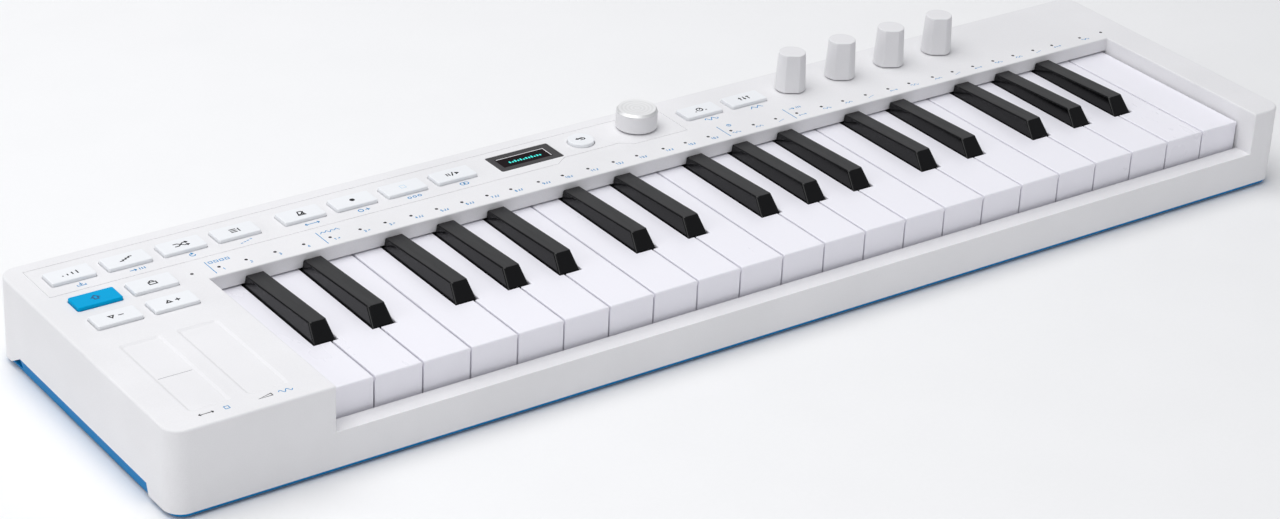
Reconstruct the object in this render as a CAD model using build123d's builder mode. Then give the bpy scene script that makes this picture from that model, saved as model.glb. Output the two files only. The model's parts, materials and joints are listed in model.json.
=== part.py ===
"""A 37-key step-sequencing synthesizer controller, built as separate moulded and metal pieces.

The frame: +X runs along the keyboard from the bass end to the treble end, +Y from the
player towards the rear sockets, +Z up.  The origin is on the resting surface, under the
middle of the body.  All dimensions are millimetres.
"""
import math
import os

from build123d import *

os.makedirs("parts", exist_ok=True)

# ---------------------------------------------------------------- body
body_width = 587.0
body_depth = 152.0
corner_radius = 8.0
foot_height = 1.2
base_reveal = 1.4
shell_height = 36.8
wall = 2.5
edge_round = 1.0

half_width = body_width / 2
half_depth = body_depth / 2
shell_bottom = foot_height + base_reveal
panel_top = shell_bottom + shell_height
panel_under = panel_top - wall
inner_y = half_depth - wall

# the long cut-out in each side wall, which shows the coloured base
notch_front = -55.0
notch_rear = 56.5
notch_rise = 5.0
notch_front_slant = 2.0
notch_rear_slant = 10.0

# ---------------------------------------------------------------- key bay
left_block = 71.8
right_cheek = 18.2
bay_left = -half_width + left_block
bay_right = half_width - right_cheek
bay_rear = 26.6
bay_wall = 2.0
lip_top = shell_bottom + 16.1
lip_depth = 8.9
lip_plate = 2.0
lip_rear = -half_depth + lip_depth
bay_wall_bottom = 10.0
bay_rim_round = 0.6

# ---------------------------------------------------------------- keys
white_count = 22
octaves = 3
notes_per_octave = 7
key_pitch = 22.53
key_gap = 0.9
key_top = shell_bottom + 29.4
key_front = -65.7
key_skin = 2.4
key_side = 1.6
key_side_bottom = key_top - 10.0
skirt_bottom = 13.0
front_cap = 1.7
front_step = 0.3
key_round = 0.55
slot_front = -32.3
slot_half = 5.7
shelf_rear = 29.6
slit = 0.9

pivot_y = 52.0
pivot_z = 20.0
rod_radius = 1.5
hub_bore = 1.56
hub_half_height = 4.5
hub_front = 45.0
hub_rear = 57.0
hub_relief = 1.0
stem_top = 28.0
stem_bottom = 18.0
stem_overlap = 3.0
contact_y = 8.0
boss_radius = 2.0
boss_bottom = 17.6

# black keys: places in white-key pitches from the start of an octave
black_places = (0.89, 2.10, 3.86, 5.00, 6.14)
black_half = 5.0
black_half_top = 4.0
black_front = -31.3
black_top_front = -25.6
black_rear = 26.1
black_top = shell_bottom + 36.1
black_top_rear = shell_bottom + 33.8
black_bottom = 23.0
black_round = 0.8
black_nose_round = 1.4
black_pocket_half = 3.0
black_pocket_top = key_top + 1.5

first_edge = (bay_left + bay_right - white_count * key_pitch) / 2
black_centres = [
    first_edge + (notes_per_octave * octave + place) * key_pitch
    for octave in range(octaves)
    for place in black_places
]

# ---------------------------------------------------------------- panel controls
button_size = (20.0, 10.2)
button_rise = 1.6
button_gap = 0.3
button_corner = 0.9
button_round = 0.45
flange_margin = 1.0
flange_height = 1.0
button_pitch = 25.4
mode_first_x = -269.9
transport_first_x = -162.2
rear_row_y = 56.5
controller_first_x = 48.2
controller_pitch = 25.6
middle_row_y = 32.8
front_row_y = 14.8
left_column_x = -270.0
right_column_x = -244.7
back_button_place = (-17.0, 57.8)
back_button_radius = 6.1

mode_places = [(mode_first_x + n * button_pitch, rear_row_y) for n in range(4)]
transport_places = [(transport_first_x + n * button_pitch, rear_row_y) for n in range(4)]
controller_places = [(controller_first_x + n * controller_pitch, rear_row_y) for n in range(2)]
shift_places = [(left_column_x, middle_row_y)]
hold_places = [(right_column_x, middle_row_y)]
octave_places = [(left_column_x, front_row_y), (right_column_x, front_row_y)]
button_groups = {
    "mode_buttons": mode_places,
    "transport_buttons": transport_places,
    "controller_buttons": controller_places,
    "shift_button": shift_places,
    "hold_button": hold_places,
    "octave_buttons": octave_places,
}
rectangular_places = [place for places in button_groups.values() for place in places]

strip_size = (18.6, 59.0)
strip_centre_y = -34.6
strip_centres_x = (-270.0, -244.7)
strip_recess = 0.6
strip_slope = 1.3
strip_corner = 1.5

window_size = (32.8, 15.0)
window_place = (-47.7, 57.2)
window_thickness = 1.6
window_drop = 0.15
window_gap = 0.1
window_ledge = 1.6
window_corner = 0.8

encoder_place = (13.8, 58.2)
encoder_radius = 9.5
encoder_rise = 0.8
encoder_top = 9.9
encoder_chamfer = 0.9
shaft_radius = 3.0
shaft_clearance = 0.08
shaft_hole = 4.0
encoder_shaft_end = 35.2
plunger_radius = 2.5
plunger_low = 33.9
plunger_high = 34.9

knob_first_x = 101.3
knob_pitch = 29.75
knob_y = 57.0
knob_base_radius = 7.3
knob_top_radius = 6.35
knob_rise = 0.7
knob_top = 19.0
knob_flat = 0.8
knob_pointer_angle = -120.0
knob_round = 0.5
knob_shaft_end = 33.6
knob_places = [(knob_first_x + n * knob_pitch, knob_y) for n in range(4)]

# ---------------------------------------------------------------- inside
board_top = 33.0
board_thickness = 1.6
main_board_front = 31.0
main_board_rear = 64.0
board_end = 288.0
left_board_edge = -284.0
left_board_inner = -229.0
left_board_front = -66.0
switch_side = 6.0
switch_height = 1.4
encoder_case_side = 12.0
encoder_case_height = 3.6
pot_case_side = 10.0
pot_case_height = 3.0
display_module_size = (36.0, 19.0, 2.4)
sensor_thickness = 0.8

floor_top = 3.7
chassis_top = 5.2
chassis_margin = 0.5
chassis_front = -65.5
chassis_rear = 58.5
rib_thickness = 1.6
rib_front = 47.0
rib_top = 23.5
rod_hole = 1.52
guide_y = -42.0
guide_size = (2.0, 5.0)
guide_top = 19.0
post_size = 4.0

contact_board_bottom = 7.4
contact_board_top = 9.0
contact_board_depth = 24.0
contact_margin = 3.0
strip_pad_top = 10.2
dome_top = 14.4
dome_base_radius = 3.4
dome_top_radius = 2.2
contact_pad_depth = 10.0

# ---------------------------------------------------------------- base, feet and screws
base_side_inset = 1.23
base_front_inset = 0.3
base_taper = 15.0
base_fit = 0.2
rim_top = 7.5
rim_thickness = 2.0
cheek_gap = 0.1
screw_places = [
    (-285.5, -68.3),
    (-285.5, 68.3),
    (-228.5, -68.3),
    (284.4, -68.3),
    (284.4, 0.0),
    (284.4, 68.3),
    (-110.0, 68.5),
    (90.0, 68.5),
]
post_radius = 4.5
shell_boss_bottom = 8.0
shell_boss_radius = 3.2
screw_hole = 1.6
screw_pilot = 1.3
pilot_top = 21.0
screw_shank = 1.25
screw_top = 19.0
head_radius = 2.9
head_recess = 3.2
head_low = 2.0
head_high = 4.2
drive_radius = 1.1
drive_depth = 1.2

foot_radius = 6.0
foot_pocket = 0.6
foot_pocket_radius = 6.2
foot_chamfer = 0.3
foot_places = [(x, y) for x in (-265.0, 0.0, 265.0) for y in (-58.0, 58.0)]

# fine groove round the controls of the rear row, stepping round a plain area in front of the back button
groove_width = 0.35
groove_depth = 0.25
outline_left = -284.7
outline_right = 32.5
outline_front = 44.2
outline_rear = 69.2
outline_step = (-38.1, -32.3, -2.5, 3.3)
outline_step_front = 48.3
outline_divider_x = -68.9

# ---------------------------------------------------------------- rear sockets
socket_z = 19.0
round_socket_x = (160.0, 190.0)
round_socket_body = (20.0, 13.0, 20.0)
round_socket_nose = 8.4
round_socket_ring = 6.8
round_socket_core = 5.9
round_socket_depth = 9.0
pin_circle = 3.75
pin_radius = 0.8
pin_depth = 7.0
pin_angles = (0.0, 45.0, 90.0, 135.0, 180.0)

mini_jack_x = (-50.0, -30.0, -10.0, 10.0, 30.0)
mini_jack_body = (10.0, 13.0, 11.0)
mini_jack_nose = 3.0
mini_jack_bore = 1.8
mini_jack_depth = 14.0

pedal_jack_x = -255.0
pedal_jack_body = (16.0, 25.0, 16.0)
pedal_jack_nose = 5.5
pedal_jack_bore = 3.25
pedal_jack_depth = 24.0

usb_x = 235.0
usb_shell = (9.6, 3.9)
usb_mouth = (8.6, 2.9)
usb_length = 10.0
usb_mouth_depth = 6.5
usb_tongue = (6.7, 0.7)
usb_tongue_length = 5.0
lock_slot_x = 262.0
lock_slot = (7.0, 3.0)
nose_gap = 0.1


def block(x_low, x_high, y_low, y_high, z_low, z_high, mode=Mode.ADD):
    """A box between two opposite corners, in the part being built."""
    with Locations(((x_low + x_high) / 2, (y_low + y_high) / 2, (z_low + z_high) / 2)):
        Box(x_high - x_low, y_high - y_low, z_high - z_low, mode=mode)


def column(place, radius, z_low, z_high, mode=Mode.ADD):
    """An upright cylinder between two heights."""
    with Locations((place[0], place[1], (z_low + z_high) / 2)):
        Cylinder(radius, z_high - z_low, mode=mode)


def rear_bore(x, z, radius, y_low, y_high, mode=Mode.SUBTRACT):
    """A cylinder along Y, as for the mouth of a rear socket."""
    with Locations(Location((x, (y_low + y_high) / 2, z), (90, 0, 0))):
        Cylinder(radius, y_high - y_low, mode=mode)


def cross_bore(x_low, x_high, radius, mode=Mode.SUBTRACT):
    """A cylinder along X on the keys' pivot line."""
    with Locations(Location(((x_low + x_high) / 2, pivot_y, pivot_z), (0, 90, 0))):
        Cylinder(radius, x_high - x_low, mode=mode)


def white_edges(index):
    """Left and right faces of a white key's head, and of its narrower stem."""
    left = first_edge + index * key_pitch + key_gap / 2
    right = left + key_pitch - key_gap
    middle = (left + right) / 2
    stem_left = max([left] + [c + slot_half for c in black_centres if left - slot_half < c < middle])
    stem_right = min([right] + [c - slot_half for c in black_centres if middle < c < right + slot_half])
    return left, right, stem_left, stem_right


white_spans = [white_edges(index) for index in range(white_count)]
white_stem_centres = [(span[2] + span[3]) / 2 for span in white_spans]
key_line_centres = sorted(white_stem_centres + black_centres)

# ================================================================ top shell
with BuildPart() as top_shell:
    with BuildSketch(Plane.XY.offset(shell_bottom)):
        RectangleRounded(body_width, body_depth, corner_radius)
    extrude(amount=shell_height)
    fillet(top_shell.edges().group_by(Axis.Z)[-1], edge_round)
    with BuildSketch(Plane.XY.offset(shell_bottom)):
        RectangleRounded(body_width - 2 * wall, body_depth - 2 * wall, corner_radius - wall)
    extrude(amount=shell_height - wall, mode=Mode.SUBTRACT)

    # walls round the key bay and the lip in front of the keys
    side_wall_z = (bay_wall_bottom, panel_under)
    bay_back = bay_rear + bay_wall
    block(bay_left - bay_wall, bay_left, -inner_y, bay_back, *side_wall_z)
    block(bay_right, bay_right + bay_wall, -inner_y, bay_back, *side_wall_z)
    block(bay_left, bay_right, bay_rear, bay_back, key_top + slit, panel_under)
    block(bay_left, bay_right, -inner_y, lip_rear, lip_top - lip_plate, lip_top)
    block(bay_left, bay_right, lip_rear - bay_wall, lip_rear, bay_wall_bottom, lip_top)
    over = 1.0
    block(bay_left, bay_right, -half_depth - over, bay_rear, lip_top, panel_top + over, Mode.SUBTRACT)
    bay_rim = [
        edge
        for edge in top_shell.edges().group_by(Axis.Z)[-1]
        if edge.bounding_box().min.X > bay_left - over and edge.bounding_box().max.X < bay_right + over
        and edge.bounding_box().max.Y < bay_rear + over
    ]
    fillet(bay_rim, bay_rim_round)

    # finger strips: shallow recesses over the touch sensors
    for x in strip_centres_x:
        with BuildSketch(Plane.XY.offset(panel_top)):
            with Locations((x, strip_centre_y)):
                RectangleRounded(*strip_size, strip_corner)
        with BuildSketch(Plane.XY.offset(panel_top - strip_recess)):
            with Locations((x, strip_centre_y)):
                RectangleRounded(strip_size[0] - 2 * strip_slope, strip_size[1] - 2 * strip_slope, strip_corner)
        loft(mode=Mode.SUBTRACT)

    # openings for the buttons, the display, the encoder and the knobs
    with BuildSketch(Plane.XY.offset(panel_top)):
        with Locations(*rectangular_places):
            RectangleRounded(
                button_size[0] + 2 * button_gap, button_size[1] + 2 * button_gap, button_corner + button_gap
            )
        with Locations(back_button_place):
            Circle(back_button_radius + button_gap)
        with Locations(encoder_place, *knob_places):
            Circle(shaft_hole)
        with Locations(window_place):
            RectangleRounded(
                window_size[0] - 2 * window_ledge, window_size[1] - 2 * window_ledge, window_corner
            )
    extrude(amount=-wall, mode=Mode.SUBTRACT)
    with BuildSketch(Plane.XY.offset(panel_top)):
        with Locations(window_place):
            RectangleRounded(
                window_size[0] + 2 * window_gap, window_size[1] + 2 * window_gap, window_corner + window_gap
            )
    extrude(amount=-(window_thickness + window_drop), mode=Mode.SUBTRACT)

    # groove round the rear row of controls
    with BuildSketch(Plane.XY.offset(panel_top)):
        with BuildLine():
            Polyline(
                (outline_left, outline_front),
                (outline_step[0], outline_front),
                (outline_step[1], outline_step_front),
                (outline_step[2], outline_step_front),
                (outline_step[3], outline_front),
                (outline_right, outline_front),
                (outline_right, outline_rear),
                (outline_left, outline_rear),
                close=True,
            )
            Line((outline_divider_x, outline_front), (outline_divider_x, outline_rear))
        trace(line_width=groove_width)
    extrude(amount=-groove_depth, mode=Mode.SUBTRACT)

    # screw bosses
    for place in screw_places:
        column(place, shell_boss_radius, shell_boss_bottom, panel_under)
        column(place, screw_pilot, shell_boss_bottom - over, pilot_top, Mode.SUBTRACT)

    # holes for the rear sockets
    for x in round_socket_x:
        rear_bore(x, socket_z, round_socket_nose + nose_gap, inner_y - over, half_depth + over)
    for x in mini_jack_x:
        rear_bore(x, socket_z, mini_jack_nose + nose_gap, inner_y - over, half_depth + over)
    rear_bore(pedal_jack_x, socket_z, pedal_jack_nose + nose_gap, inner_y - over, half_depth + over)
    rear_plane = Plane(origin=(0, half_depth, 0), x_dir=(1, 0, 0), z_dir=(0, -1, 0))
    with BuildSketch(rear_plane):
        with Locations((usb_x, socket_z)):
            RectangleRounded(
                usb_shell[0] + 2 * nose_gap, usb_shell[1] + 2 * nose_gap, usb_shell[1] / 2
            )
        with Locations((lock_slot_x, socket_z)):
            RectangleRounded(*lock_slot, 1.0)
    extrude(amount=wall, mode=Mode.SUBTRACT)

    # cut-out along the foot of both side walls
    with BuildSketch(Plane.YZ):
        with BuildLine():
            Polyline(
                (notch_front - notch_front_slant, shell_bottom - over),
                (notch_front, shell_bottom + notch_rise),
                (notch_rear, shell_bottom + notch_rise),
                (notch_rear + notch_rear_slant, shell_bottom - over),
                close=True,
            )
        make_face()
    extrude(amount=half_width + over, both=True, mode=Mode.SUBTRACT)
top_shell.part.label = "top_shell"
export_step(top_shell.part, "parts/top_shell.step")

# ================================================================ base shell
with BuildPart() as base_shell:
    with BuildSketch(Plane.XY.offset(shell_bottom)):
        RectangleRounded(
            body_width - 2 * base_side_inset, body_depth - 2 * base_front_inset, corner_radius - base_side_inset
        )
    extrude(amount=-base_reveal, taper=base_taper)
    inset = wall + base_fit
    with BuildSketch(Plane.XY.offset(shell_bottom)):
        RectangleRounded(body_width - 2 * inset, body_depth - 2 * inset, corner_radius - inset)
    extrude(amount=rim_top - shell_bottom)
    rim_inset = inset + rim_thickness
    with BuildSketch(Plane.XY.offset(floor_top)):
        RectangleRounded(body_width - 2 * rim_inset, body_depth - 2 * rim_inset, corner_radius - rim_inset)
    extrude(amount=rim_top, mode=Mode.SUBTRACT)

    # coloured cheeks that fill the cut-outs in the shell's side walls
    cheek_top = shell_bottom + notch_rise - cheek_gap
    for side in (-1, 1):
        with BuildSketch(Plane.XZ.offset(-(notch_rear - cheek_gap))):
            with BuildLine():
                Polyline(
                    (side * (half_width - cheek_gap), cheek_top),
                    (side * (half_width - base_side_inset), shell_bottom),
                    (side * (half_width - inset - rim_thickness), shell_bottom),
                    (side * (half_width - inset - rim_thickness), cheek_top),
                    close=True,
                )
            make_face()
        extrude(amount=notch_rear - notch_front - 2 * cheek_gap)

    # posts under the shell's bosses, with counterbored screw holes
    for place in screw_places:
        column(place, post_radius, shell_bottom, rim_top)
        column(place, screw_hole, 0, rim_top + 1.0, Mode.SUBTRACT)
        column(place, head_recess, 0, head_high, Mode.SUBTRACT)
    # pockets for the feet
    for place in foot_places:
        column(place, foot_pocket_radius, 0, foot_height + foot_pocket, Mode.SUBTRACT)
base_shell.part.label = "base_shell"
export_step(base_shell.part, "parts/base_shell.step")

# ================================================================ key chassis and pivot rod
white_boundaries = [first_edge + n * key_pitch for n in (3, 7, 10, 14, 17, 21)]
with BuildPart() as key_chassis:
    chassis_left = bay_left + chassis_margin
    chassis_right = bay_right - chassis_margin
    block(chassis_left, chassis_right, chassis_front, chassis_rear, floor_top, chassis_top)
    # ribs that carry the rod, at both ends and where two white keys meet
    rib_centres = [chassis_left + rib_thickness / 2, chassis_right - rib_thickness / 2] + white_boundaries
    for x in rib_centres:
        block(
            x - rib_thickness / 2, x + rib_thickness / 2, rib_front, chassis_rear, chassis_top, rib_top
        )
    cross_bore(chassis_left - 1.0, chassis_right + 1.0, rod_hole)
    # an upright guide inside each white key
    for centre in white_stem_centres:
        with Locations((centre, guide_y, (chassis_top + guide_top) / 2)):
            Box(guide_size[0], guide_size[1], guide_top - chassis_top)
    # posts under the contact board
    for x in white_boundaries:
        for y in (-2.0, 18.0):
            with Locations((x, y, (chassis_top + contact_board_bottom) / 2)):
                Box(post_size, post_size, contact_board_bottom - chassis_top)
key_chassis.part.label = "key_chassis"
export_step(key_chassis.part, "parts/key_chassis.step")

with BuildPart() as key_pivot_rod:
    cross_bore(chassis_left, chassis_right, rod_radius, Mode.ADD)
key_pivot_rod.part.label = "key_pivot_rod"
export_step(key_pivot_rod.part, "parts/key_pivot_rod.step")

# ================================================================ rubber contact strip
with BuildPart() as key_contact_strip:
    strip_left = first_edge + contact_margin
    strip_right = -first_edge + bay_left + bay_right - contact_margin
    block(
        strip_left, strip_right,
        contact_y - contact_pad_depth / 2, contact_y + contact_pad_depth / 2,
        contact_board_top, strip_pad_top,
    )
    for centre in key_line_centres:
        with Locations((centre, contact_y, (strip_pad_top + dome_top) / 2)):
            Cone(dome_base_radius, dome_top_radius, dome_top - strip_pad_top)
key_contact_strip.part.label = "key_contact_strip"
export_step(key_contact_strip.part, "parts/key_contact_strip.step")

# ================================================================ circuit boards
with BuildPart() as circuit_boards:
    # the L-shaped control board under the panel
    with BuildSketch(Plane.XY.offset(board_top)):
        with Locations((0, (main_board_front + main_board_rear) / 2)):
            Rectangle(2 * board_end, main_board_rear - main_board_front)
        with Locations(((left_board_edge + left_board_inner) / 2, (left_board_front + main_board_front) / 2)):
            Rectangle(left_board_inner - left_board_edge, main_board_front - left_board_front)
    extrude(amount=-board_thickness)
    # push switches under the buttons
    for x, y in rectangular_places + [back_button_place]:
        with Locations((x, y, board_top + switch_height / 2)):
            Box(switch_side, switch_side, switch_height)
    # encoder and potentiometer cases, bored for their shafts
    with Locations((*encoder_place, board_top + encoder_case_height / 2)):
        Box(encoder_case_side, encoder_case_side, encoder_case_height)
    column(encoder_place, shaft_radius + shaft_clearance, board_top, panel_under, Mode.SUBTRACT)
    for place in knob_places:
        with Locations((*place, board_top + pot_case_height / 2)):
            Box(pot_case_side, pot_case_side, pot_case_height)
        column(place, shaft_radius + shaft_clearance, board_top, panel_under, Mode.SUBTRACT)
    # display module
    with Locations((*window_place, board_top + display_module_size[2] / 2)):
        Box(*display_module_size)
    # touch sensors on the panel's underside
    for x in strip_centres_x:
        with Locations((x, strip_centre_y, panel_under - sensor_thickness / 2)):
            Box(strip_size[0], strip_size[1], sensor_thickness)
    # board under the rubber contact strip
    block(
        strip_left, strip_right,
        contact_y - contact_board_depth / 2, contact_y + contact_board_depth / 2,
        contact_board_bottom, contact_board_top,
    )
circuit_boards.part.label = "circuit_boards"
export_step(circuit_boards.part, "parts/circuit_boards.step")

# ================================================================ display window
with BuildPart() as display_window:
    with BuildSketch(Plane.XY.offset(panel_top - window_drop)):
        with Locations(window_place):
            RectangleRounded(*window_size, window_corner)
    extrude(amount=-window_thickness)
display_window.part.label = "display_window"
export_step(display_window.part, "parts/display_window.step")

# ================================================================ rear sockets
with BuildPart() as rear_sockets:
    body_rear = inner_y

    def socket_body(x, size, nose):
        """A rectangular housing behind the rear wall, with a round nose through the wall."""
        block(
            x - size[0] / 2, x + size[0] / 2, body_rear - size[1], body_rear,
            socket_z - size[2] / 2, socket_z + size[2] / 2,
        )
        rear_bore(x, socket_z, nose, body_rear, half_depth, Mode.ADD)

    for x in round_socket_x:
        socket_body(x, round_socket_body, round_socket_nose)
        rear_bore(x, socket_z, round_socket_ring, half_depth - round_socket_depth, half_depth)
        rear_bore(x, socket_z, round_socket_core, half_depth - round_socket_depth, half_depth, Mode.ADD)
        for angle in pin_angles:
            pin_x = x + pin_circle * math.cos(math.radians(angle))
            pin_z = socket_z + pin_circle * math.sin(math.radians(angle))
            rear_bore(pin_x, pin_z, pin_radius, half_depth - pin_depth, half_depth)
    for x in mini_jack_x:
        socket_body(x, mini_jack_body, mini_jack_nose)
        rear_bore(x, socket_z, mini_jack_bore, half_depth - mini_jack_depth, half_depth)
    socket_body(pedal_jack_x, pedal_jack_body, pedal_jack_nose)
    rear_bore(pedal_jack_x, socket_z, pedal_jack_bore, half_depth - pedal_jack_depth, half_depth)
    with BuildSketch(rear_plane):
        with Locations((usb_x, socket_z)):
            RectangleRounded(*usb_shell, usb_shell[1] / 2 - 0.1)
    extrude(amount=usb_length)
    with BuildSketch(rear_plane):
        with Locations((usb_x, socket_z)):
            RectangleRounded(*usb_mouth, usb_mouth[1] / 2 - 0.1)
    extrude(amount=usb_mouth_depth, mode=Mode.SUBTRACT)
    tongue_root = half_depth - usb_mouth_depth
    block(
        usb_x - usb_tongue[0] / 2, usb_x + usb_tongue[0] / 2, tongue_root, tongue_root + usb_tongue_length,
        socket_z - usb_tongue[1] / 2, socket_z + usb_tongue[1] / 2,
    )
rear_sockets.part.label = "rear_sockets"
export_step(rear_sockets.part, "parts/rear_sockets.step")

# ================================================================ feet and screws
with BuildPart() as rubber_feet:
    for place in foot_places:
        column(place, foot_radius, 0, foot_height + foot_pocket)
    chamfer(rubber_feet.edges().group_by(Axis.Z)[0], foot_chamfer)
rubber_feet.part.label = "rubber_feet"
export_step(rubber_feet.part, "parts/rubber_feet.step")

with BuildPart() as case_screws:
    for place in screw_places:
        column(place, head_radius, head_low, head_high)
        column(place, screw_shank, head_high, screw_top)
        with BuildSketch(Plane.XY.offset(head_low)):
            with Locations(place):
                Rectangle(2 * drive_radius, drive_radius / 2)
                Rectangle(drive_radius / 2, 2 * drive_radius)
        extrude(amount=drive_depth, mode=Mode.SUBTRACT)
case_screws.part.label = "case_screws"
export_step(case_screws.part, "parts/case_screws.step")

# ================================================================ buttons
flange_top = panel_under - button_gap
button_height = panel_top + button_rise - (flange_top - flange_height)
for name, places in button_groups.items():
    with BuildPart() as buttons:
        for place in places:
            with BuildSketch(Plane.XY.offset(flange_top - flange_height)):
                with Locations(place):
                    RectangleRounded(*button_size, button_corner)
            extrude(amount=button_height)
        fillet(buttons.edges().group_by(Axis.Z)[-1], button_round)
        for place in places:
            with BuildSketch(Plane.XY.offset(flange_top - flange_height)):
                with Locations(place):
                    RectangleRounded(
                        button_size[0] + 2 * flange_margin, button_size[1] + 2 * flange_margin, button_corner
                    )
            extrude(amount=flange_height)
    buttons.part.label = name
    export_step(buttons.part, f"parts/{name}.step")

with BuildPart() as back_button:
    column(back_button_place, back_button_radius, flange_top, panel_top + button_rise)
    fillet(back_button.edges().group_by(Axis.Z)[-1], button_round)
    column(back_button_place, back_button_radius + flange_margin, flange_top - flange_height, flange_top)
back_button.part.label = "back_button"
export_step(back_button.part, "parts/back_button.step")

# ================================================================ encoder
with BuildPart() as encoder_knob:
    column(encoder_place, encoder_radius, panel_top + encoder_rise, panel_top + encoder_top)
    chamfer(encoder_knob.edges().group_by(Axis.Z)[-1], encoder_chamfer)
    column(encoder_place, shaft_radius, encoder_shaft_end, panel_top + encoder_rise)
encoder_knob.part.label = "encoder_knob"
export_step(encoder_knob.part, "parts/encoder_knob.step")

with BuildPart() as encoder_plunger:
    column(encoder_place, plunger_radius, plunger_low, plunger_high)
encoder_plunger.part.label = "encoder_plunger"
export_step(encoder_plunger.part, "parts/encoder_plunger.step")

# ================================================================ parameter knobs
def pointer_plane(x, y):
    """Upright plane through a knob's axis, with its first direction along the pointer."""
    angle = math.radians(knob_pointer_angle)
    return Plane(
        origin=(x, y, 0),
        x_dir=(math.cos(angle), math.sin(angle), 0),
        z_dir=(math.sin(angle), -math.cos(angle), 0),
    )


for number, (x, y) in enumerate(knob_places, start=1):
    with BuildPart() as knob:
        body_low = panel_top + knob_rise
        body_high = panel_top + knob_top
        with Locations((x, y, (body_low + body_high) / 2)):
            Cone(knob_base_radius, knob_top_radius, body_high - body_low)
        # the pointer is a flat that leans with the knob's side, at seven o'clock when turned fully down
        with BuildSketch(pointer_plane(x, y)):
            with BuildLine():
                Polyline(
                    (knob_base_radius - knob_flat, body_low),
                    (knob_top_radius - knob_flat, body_high),
                    (knob_base_radius + 1.0, body_high),
                    (knob_base_radius + 1.0, body_low),
                    close=True,
                )
            make_face()
        extrude(amount=knob_base_radius, both=True, mode=Mode.SUBTRACT)
        fillet(knob.edges().group_by(Axis.Z)[-1], knob_round)
        column((x, y), shaft_radius, knob_shaft_end, body_low)
    knob.part.label = f"parameter_knob_{number}"
    export_step(knob.part, f"parts/{knob.part.label}.step")

# ================================================================ white keys
for number, (left, right, stem_left, stem_right) in enumerate(white_spans, start=1):
    with BuildPart() as white_key:
        middle = (left + right) / 2
        stem_middle = (stem_left + stem_right) / 2
        with BuildSketch(Plane.XY.offset(key_side_bottom)):
            with Locations((middle, (key_front + slot_front) / 2)):
                Rectangle(right - left, slot_front - key_front)
            with Locations((stem_middle, (slot_front + shelf_rear) / 2)):
                Rectangle(stem_right - stem_left, shelf_rear - slot_front)
        extrude(amount=key_top - key_side_bottom)
        fillet(white_key.edges().group_by(Axis.Z)[-1], key_round)
        # the front wall reaches further down and stands back under the top's edge
        face_y = key_front + front_step
        block(left, right, face_y, face_y + key_skin, skirt_bottom, key_side_bottom)
        block(
            left, right, key_front - 1.0, face_y, skirt_bottom - 1.0, key_top - front_cap, Mode.SUBTRACT
        )
        # the hollow underneath
        hollow_rear = shelf_rear - stem_overlap
        block(
            left + key_side, right - key_side, face_y + key_skin, slot_front - key_side,
            key_side_bottom, key_top - key_skin, Mode.SUBTRACT,
        )
        block(
            stem_left + key_side, stem_right - key_side, slot_front - key_side - 1.0, hollow_rear,
            key_side_bottom, key_top - key_skin, Mode.SUBTRACT,
        )
        column((stem_middle, contact_y), boss_radius, boss_bottom, key_top - key_skin)
        # the stem under the panel and the hub on the pivot rod
        block(stem_left, stem_right, hollow_rear, hub_front, stem_bottom, stem_top)
        block(
            stem_left + hub_relief, stem_right - hub_relief, hub_front, hub_rear,
            pivot_z - hub_half_height, pivot_z + hub_half_height,
        )
        cross_bore(stem_left, stem_right, hub_bore)
    white_key.part.label = f"white_key_{number:02d}"
    export_step(white_key.part, f"parts/{white_key.part.label}.step")

# ================================================================ black keys
for number, centre in enumerate(black_centres, start=1):
    with BuildPart() as black_key:
        with BuildSketch(Plane.XZ.offset(-black_rear)):
            with BuildLine():
                Polyline(
                    (centre - black_half, black_bottom),
                    (centre - black_half, key_top),
                    (centre - black_half_top, black_top),
                    (centre + black_half_top, black_top),
                    (centre + black_half, key_top),
                    (centre + black_half, black_bottom),
                    close=True,
                )
            make_face()
        extrude(amount=black_rear - black_front)
        with BuildSketch(Plane.YZ.offset(centre)):
            with BuildLine():
                Polyline(
                    (black_front, black_bottom),
                    (black_front, key_top),
                    (black_top_front, black_top),
                    (black_rear, black_top_rear),
                    (black_rear, black_bottom),
                    close=True,
                )
            make_face()
        extrude(amount=black_half, both=True, mode=Mode.INTERSECT)
        nose_edges = [
            edge
            for edge in black_key.edges()
            if edge.center().Z > key_top + 1.0 and edge.center().Y < black_top_front - 1.0
        ]
        fillet(nose_edges, black_nose_round)
        top_face = black_key.faces().sort_by(Axis.Z)[-1]
        fillet([edge for edge in top_face.edges() if edge.center().Y < black_rear - 1.0], black_round)
        # the hollow, the actuator, the stem and the hub
        block(
            centre - black_pocket_half, centre + black_pocket_half, black_front + 3.0, black_rear - 3.0,
            black_bottom, black_pocket_top, Mode.SUBTRACT,
        )
        column((centre, contact_y), boss_radius, boss_bottom, black_pocket_top)
        block(
            centre - black_half, centre + black_half, black_rear - stem_overlap, hub_front,
            stem_bottom, stem_top,
        )
        block(
            centre - black_half + hub_relief, centre + black_half - hub_relief, hub_front, hub_rear,
            pivot_z - hub_half_height, pivot_z + hub_half_height,
        )
        cross_bore(centre - black_half, centre + black_half, hub_bore)
    black_key.part.label = f"black_key_{number:02d}"
    export_step(black_key.part, f"parts/{black_key.part.label}.step")
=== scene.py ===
"""A slim white controller keyboard with 37 small keys: studio, camera, finishes and fitted details.

Tables of marks are in millimetres on the panel or on a cap; MM turns them into metres.
"""

import json
import math

import bpy
import numpy as np
from mathutils import Matrix, Vector


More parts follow.
